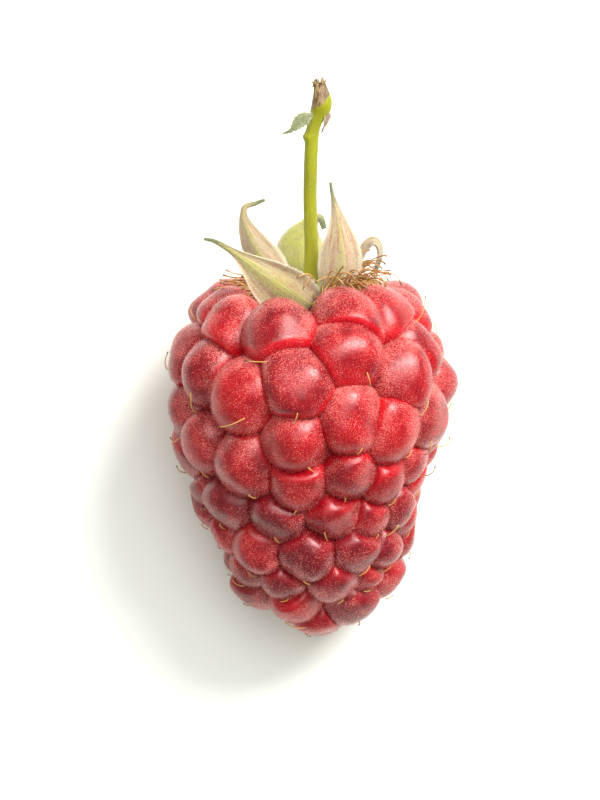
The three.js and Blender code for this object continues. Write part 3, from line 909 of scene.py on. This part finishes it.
# Points are [right, front, up the stem]. faces is the way the seen face looks, width the half-widths
# along the blade, cup and roll how far the edges stand up from the spine as shares of the width,
# wave how far the edges ripple, and green how much of the colour is green.
sepals = {
    "sepal_front_left": {
        "spine": [[-0.2, 3.0, -1.2], [-2.0, 3.8, 0.3], [-4.2, 4.2, 2.15], [-5.9, 4.2, 3.5],
                  [-7.5, 4.1, 4.4], [-8.4, 4.0, 4.6]],
        "faces": [-0.15, 0.97, -0.12],
        "width": [1.7, 2.15, 2.15, 1.75, 1.05, 0.45, 0.22, 0.1],
        "cup": -0.35, "roll": 0.5, "wave": 0.06, "green": 0.52,
    },
    "sepal_back_left": {
        "spine": [[-2.4, -0.6, 0.2], [-3.6, -0.9, 1.7], [-4.6, -1.0, 3.4], [-5.2, -1.1, 4.9],
                  [-5.2, -1.2, 6.0], [-4.4, -1.3, 6.3], [-3.6, -1.4, 6.6]],
        "faces": [-0.4, 0.85, 0.2],
        "width": [1.1, 1.4, 1.42, 1.2, 0.8, 0.4, 0.2, 0.12],
        "cup": -0.45, "roll": 0.3, "wave": 0.05, "green": 0.35,
    },
    "sepal_behind_stem": {
        "spine": [[-0.3, -2.6, 0.1], [-0.6, -3.3, 1.6], [-0.4, -3.7, 3.2], [0.3, -3.7, 4.5],
                  [0.85, -3.4, 4.6], [1.15, -2.9, 3.9]],
        "faces": [0, 1, 0.1],
        "width": [1.5, 2.0, 2.15, 1.9, 1.2, 0.55, 0.3, 0.2],
        "cup": -0.5, "roll": 0.2, "wave": 0.04, "green": 0.9,
    },
    "sepal_front_right": {
        "spine": [[2.2, 1.9, -0.2], [2.35, 2.3, 1.6], [2.45, 2.6, 3.4], [2.3, 2.7, 5.2],
                  [2.0, 2.7, 6.9], [1.75, 2.7, 8.0], [1.6, 2.7, 8.9]],
        "faces": [0.15, 1, 0.05],
        "width": [1.35, 1.65, 1.75, 1.5, 1.0, 0.5, 0.2, 0.12],
        "cup": -0.55, "roll": 0.35, "wave": 0.06, "green": 0.28,
    },
    "sepal_back_right": {
        "spine": [[3.4, -0.8, 0.0], [3.75, -1.1, 1.5], [4.1, -1.2, 2.4], [4.7, -1.3, 3.1],
                  [5.3, -1.3, 3.1], [5.6, -1.4, 2.3], [5.45, -1.5, 1.4], [5.2, -1.6, 0.7]],
        "faces": [0.5, 0.6, 0.5],
        "width": [0.42, 0.4, 0.38, 0.38, 0.36, 0.28, 0.2, 0.12],
        "cup": 0.25, "roll": 0.3, "wave": 0.05, "green": 0.12,
    },
}
sepal = {
    "thickness": 0.26,
    "teeth": 9,  # down each edge, on a blade that has them
    "steps": 64,
    "sides": 64,
    "hairs": 5200,
    "hairSizes": (0.17, 0.009),  # length and radius
    "hairColour": (0.78, 0.74, 0.60),
    "creamColour": (0.50, 0.43, 0.26),
    "pinkColour": (0.40, 0.21, 0.13),
    "greenColour": (0.43, 0.44, 0.09),
    "tipColour": (0.13, 0.15, 0.06),
    "rimColour": (0.74, 0.69, 0.56),
    "feltScale": 7000,
    "blotchScale": 700,
    "freckleScale": 3400,
    "freckles": 0.55,
    "stripes": {"Scale": 1.7, "Detail": 5, "Roughness": 0.62},
    "stripesAcross": 3.6,
    "stripesAlong": 1.6,
    "bump": (0.6, 0.0001),
    "finish": {
        "Subsurface Weight": 0.25,
        "Subsurface Radius": (0.8, 0.8, 0.3),
        "Subsurface Scale": 0.0004,
        "Sheen Weight": 0.25,
        "Sheen Roughness": 0.5,
    },
}
bractSizes = {"thickness": 0.12, "hairs": 700, "green": 0.5}
bracts = {  # colours are green, pale and dark
    "bract": {
        "spine": [[0.35, 0.45, 13.9], [-0.4, 0.6, 13.7], [-1.1, 0.65, 13.1], [-1.6, 0.6, 12.6],
                  [-2.2, 0.5, 12.4]],
        "faces": [0.1, 1, 0.2],
        "width": [0.1, 0.3, 0.52, 0.55, 0.42, 0.22, 0.12, 0.06],
        "cup": 0.15, "roll": 0.1, "wave": 0.1, "teeth": 0.16,
        "colours": ((0.17, 0.20, 0.075), (0.30, 0.31, 0.18), (0.13, 0.14, 0.06)),
    },
    "bract_scale": {
        "spine": [[1.3, 0.3, 14.2], [1.35, 0.35, 13.6], [1.15, 0.3, 13.0], [0.9, 0.25, 12.4]],
        "faces": [0.4, 1, 0],
        "width": [0.14, 0.26, 0.26, 0.2, 0.14, 0.1, 0.06, 0.03],
        "cup": 0.1, "roll": 0.2, "wave": 0.06, "teeth": 0.0,
        "colours": ((0.20, 0.10, 0.055), (0.42, 0.28, 0.16), (0.10, 0.05, 0.03)),
    },
}


# A blade as a flat tube round its spine: across s = -cos f, the middle surface is
# p + s (w + teeth) side + (w (cup (s^2 - 0.33) + roll s^4 (1 + v) / 2) + wave) normal, and each face
# stands half the thickness by |sin f|^0.6 off it, thinner near the tip. v is the share of the length.
def bladePoints(values, thickness, steps, sides):
    path = laid(smoothPath(upright(values["spine"]), steps))
    facing = unit(turned(upright(values["faces"])))
    v = np.linspace(0, 1, steps)
    widths = np.array(values["width"], float)
    profile = smoothPath(np.stack([np.linspace(0, 1, len(widths)), widths], -1), 200)
    width = np.interp(v, profile[:, 0], profile[:, 1])[:, None]
    tangent = unit(np.gradient(path, axis=0))
    side = unit(np.cross(tangent, facing))
    normal = np.cross(side, tangent)
    f = np.linspace(0, 2 * np.pi, sides, endpoint=False)[None]
    s = -np.cos(f)
    v = v[:, None]
    edge = np.abs(s) ** 3
    saw = np.abs((v * sepal["teeth"]) % 1 - 0.5) * 2 - 0.5
    teeth = values.get("teeth", 0) * edge * saw * np.sin(np.pi * v)
    wave = values["wave"] * edge * np.sin(17 * v + 2 * s) + 0.03 * np.sin(6 * s + 2 * v) * width
    lift = width * (values["cup"] * (s**2 - 0.33) + values["roll"] * s**4 * (0.5 + 0.5 * v)) + wave
    thin = np.clip(3 * (1 - v) + 0.35, 0, 1)
    half = thickness / 2 * np.abs(np.sin(f)) ** 0.6 * np.sign(np.sin(f)) * thin
    middle = path[:, None] + side[:, None] * (s * (width + teeth))[..., None]
    points = middle + normal[:, None] * (lift + half)[..., None]
    ends = points[[0, -1]].mean(1)
    across = np.broadcast_to(s, points.shape[:2]).reshape(-1)
    along = np.broadcast_to(v, points.shape[:2]).reshape(-1)
    points = np.vstack([points.reshape(-1, 3), ends])
    return points, np.append(across, (0, 0)), np.append(along, (0, 1))


# Colour runs in fine lengthwise stripes, read from the blade's own across and along numbers, with
# green most near the spine, freckles, a pale rim and a dark tip.
def bladeMaterial(name, cream, pink, green, tip, greenShare):
    material, tree, shader = newMaterial(name)
    across, along = attribute(tree, "across"), attribute(tree, "along")
    place = tree.nodes.new("ShaderNodeCombineXYZ")
    tree.links.new(combined(tree, "MULTIPLY", across, sepal["stripesAcross"]), place.inputs["X"])
    tree.links.new(combined(tree, "MULTIPLY", along, sepal["stripesAlong"]), place.inputs["Y"])
    stripes = tree.nodes.new("ShaderNodeTexNoise")
    setSockets(stripes, sepal["stripes"])
    tree.links.new(place.outputs["Vector"], stripes.inputs["Vector"])
    stripe = stripes.outputs["Fac"]
    felt = noise(tree, sepal["feltScale"], 3, 0.65)
    blotch = noise(tree, sepal["blotchScale"], 3)
    rib = ranged(tree, combined(tree, "ABSOLUTE", across, 0), 0.0, 0.5, 0.35, -0.05)
    greenness = combined(tree, "ADD", combined(tree, "ADD", stripe, rib), greenShare - 0.5)
    body = mixed(tree, ranged(tree, stripe, 0.42, 0.6), pink, cream)
    body = mixed(tree, ranged(tree, greenness, 0.42, 0.72), body, green)
    body = mixed(tree, ranged(tree, blotch, 0.35, 0.7, 0, 0.5), body, cream)
    spots = noise(tree, sepal["freckleScale"], 4, 0.7)
    freckle = ranged(tree, spots, 0.54, 0.66, 0, sepal["freckles"])
    body = mixed(tree, freckle, body, tuple(0.78 * c for c in pink))
    rim = ranged(tree, combined(tree, "ABSOLUTE", across, 0), 0.82, 1.0, 0, 0.7)
    body = mixed(tree, rim, body, sepal["rimColour"])
    tipness = combined(tree, "ADD", along, ranged(tree, felt, 0.3, 0.7, -0.05, 0.05))
    colour = mixed(tree, ranged(tree, tipness, 0.78, 0.92), body, tip)
    tree.links.new(colour, shader.inputs["Base Color"])
    tree.links.new(ranged(tree, felt, 0.3, 0.7, 0.6, 0.85), shader.inputs["Roughness"])
    setSockets(shader, sepal["finish"])
    ridges, nap = combined(tree, "MULTIPLY", stripe, 1.5), combined(tree, "MULTIPLY", felt, 0.5)
    bumped(tree, shader, combined(tree, "ADD", ridges, nap), *sepal["bump"])
    return material


# The blade, and the hairs on it: more where it is broad, rooted a share a of the way from ring k to
# the next, evenly across it with some more at the very edges, and leaning off it and outwards.
def makeBlade(name, values, thickness, material, hairMaterial, hairCount):
    steps, sides = sepal["steps"], sepal["sides"]
    points, across, along = bladePoints(values, thickness, steps, sides)
    numbers = {"across": across, "along": along}
    piece = makePiece(name + "_leaf", points, list(tubeFaces(steps, sides)), material, numbers)
    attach(piece, "root")
    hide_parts(name)
    grid = points[:-2].reshape(steps, sides, 3)
    breadth = np.linalg.norm(grid - grid.mean(1, keepdims=True), axis=-1).max(1)[1:-2]
    k = 1 + rng.choice(steps - 3, hairCount, p=breadth / breadth.sum())
    turn = np.arccos(np.clip(rng.uniform(-1.15, 1.15, hairCount), -1, 1)) / np.pi
    j = (np.round(turn * sides / 2).astype(int) * rng.choice((-1, 1), hairCount)) % sides
    a = rng.random((hairCount, 1))
    roots = grid[k, j] * (1 - a) + grid[k + 1, j] * a
    middle = 0.5 * (grid[k, j] + grid[k, -j % sides])
    off, rim = unit(grid[k, j] - middle + 1e-6), unit(grid[k, j] - grid.mean(1)[k])
    ways = unit(off + 0.35 * rim + 0.55 * rng.normal(size=(hairCount, 3)))
    coat(roots, ways, sepal["hairSizes"], "down_on_" + name, hairMaterial)


# Each sepal and each bract in a felt of its own colours.
def makeSepals(hairMaterial):
    for name, values in sepals.items():
        colours = [sepal[key + "Colour"] for key in ("cream", "pink", "green", "tip")]
        material = bladeMaterial(name + " felt", *colours, values["green"])
        makeBlade(name, values, sepal["thickness"], material, hairMaterial, sepal["hairs"])
    thickness, count = bractSizes["thickness"], bractSizes["hairs"]
    for name, values in bracts.items():
        green, pale, dark = values["colours"]
        material = bladeMaterial(name + " felt", pale, green, green, dark, bractSizes["green"])
        makeBlade(name, values, thickness, material, hairMaterial, count)
    print("sepals and bracts ready")


# Angles from the front in degrees, then how many, their length, how steeply they set off and how
# far they curl over (in radians), and the first and last of the nodes that they stand for.
stamens = {
    "stamens_right": {
        "from": 9, "to": 104, "count": 84,
        "length": 3.9, "rise": 1.3, "curl": 2.3, "nodes": (1, 11),
    },
    "stamens_left": {
        "from": -112, "to": -62, "count": 26,
        "length": 3.7, "rise": 0.3, "curl": 0.6, "nodes": (12, 16),
    },
    "stamens_back": {
        "from": 118, "to": 238, "count": 34,
        "length": 3.4, "rise": 0.8, "curl": 1.6, "nodes": (17, 22),
    },
}
filament = {
    "radius": 0.056,
    "foot": 3.6,  # how far from the stem's axis they are rooted
    "sunk": 0.55,
    "scatter": 5,  # degrees
    "wobble": 0.25,
    "steps": 18,
    "sides": 6,
    "colour": (0.30, 0.13, 0.025),
    "paleColour": (0.55, 0.34, 0.12),
    "darkColour": (0.15, 0.07, 0.03),
    "grainScale": 2600,
    "bump": (0.4, 0.00004),
    "finish": {"Roughness": 0.55, "Subsurface Weight": 0.15, "Subsurface Scale": 0.0002},
}


# Brown to straw from thread to thread, and dark at the end.
def stamenMaterial():
    material, tree, shader = newMaterial("dry filament")
    tint, along = attribute(tree, "tint"), attribute(tree, "along")
    grain = noise(tree, filament["grainScale"], 3)
    tone = combined(tree, "ADD", tint, ranged(tree, grain, 0.3, 0.7, -0.25, 0.25))
    straw = mixed(tree, tone, filament["colour"], filament["paleColour"])
    end = combined(tree, "ADD", along, ranged(tree, grain, 0.3, 0.7, -0.08, 0.08))
    colour = mixed(tree, ranged(tree, end, 0.9, 1.0), straw, filament["darkColour"])
    tree.links.new(colour, shader.inputs["Base Color"])
    setSockets(shader, filament["finish"])
    bumped(tree, shader, grain, *filament["bump"])
    return material


# Each thread grows from the calyx's rim. Its heading over the level is rise - curl s^1.4, plus a
# wobble, and the thread is the running sum of its steps along that heading.
def makeStamens(name, values, material):
    count, steps = values["count"], filament["steps"]
    degrees = np.linspace(values["from"], values["to"], count)
    angle = np.radians(degrees + rng.normal(0, filament["scatter"], count))[:, None]
    s = np.linspace(0, 1, steps)[None]
    rise = values["rise"] + rng.normal(0, 0.3, (count, 1))
    curl = values["curl"] * rng.uniform(0.55, 1.3, (count, 1))
    wobble = np.sin(7 * s + rng.uniform(0, 6, (count, 1)))
    heading = rise - curl * s**1.4 + filament["wobble"] * wobble
    drift = angle + rng.normal(0, 0.55, (count, 1)) * s * 1.4
    length = values["length"] * rng.uniform(0.6, 1.25, (count, 1)) / steps
    level = np.cos(heading)
    step = np.stack([level * np.sin(drift), -level * np.cos(drift), np.sin(heading)], -1)
    foot = filament["foot"] + rng.uniform(-0.35, 0.35, (count, 1))
    sunk = np.full_like(angle, -filament["sunk"])
    start = np.stack([foot * np.sin(angle), -foot * np.cos(angle), sunk], -1)
    paths = laid(start + np.cumsum(step * length[..., None], axis=1))
    s = np.linspace(0, 1, steps)
    radii = filament["radius"] * (1.25 - 0.55 * s + 0.6 * swelling(s, 0.97, 0.05))
    radii = radii * rng.uniform(0.8, 1.25, (count, 1))
    points, faces, along, which = rods(paths, radii, filament["sides"])
    numbers = {"along": along, "tint": rng.random(count)[which]}
    piece = makePiece(name, points, faces, material, numbers)
    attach(piece, "root")
    first, last = values["nodes"]
    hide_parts(*[f"stamen_{number:02d}" for number in range(first, last + 1)])


# A square of paper, flat on the table's level.
def makeFloor():
    material, _, shader = newMaterial("pale paper")
    shader.inputs["Base Color"].default_value = (*surround["floorColour"], 1)
    shader.inputs["Roughness"].default_value = surround["floorRoughness"]
    half = surround["floor"] / 2
    corners = np.array([(-half, -half, 0), (half, -half, 0), (half, half, 0), (-half, half, 0)])
    return makePiece("floor", corners, [np.array([[0, 1, 2, 3]])], material, smooth=False)


makeCamera()
for lampName, lampValues in lamps.items():
    makeLamp(lampName, lampValues)
makeSurround()
print("camera and light ready")

berries = placeDrupelets()
skinMaterial = drupeletMaterial()
makeDrupelets(berries, skinMaterial)
makeHeart(skinMaterial)
makeDown(berries, downMaterial("down", down["colour"]))
makeStyles(berries, styleMaterial())
feltHairMaterial = downMaterial("felt hair", sepal["hairColour"])
makeStalk(stalkMaterial(), feltHairMaterial)
makeSepals(feltHairMaterial)
threadMaterial = stamenMaterial()
for stamenName, stamenValues in stamens.items():
    makeStamens(stamenName, stamenValues, threadMaterial)
print("stamens ready")

makeFloor()
print("floor ready")
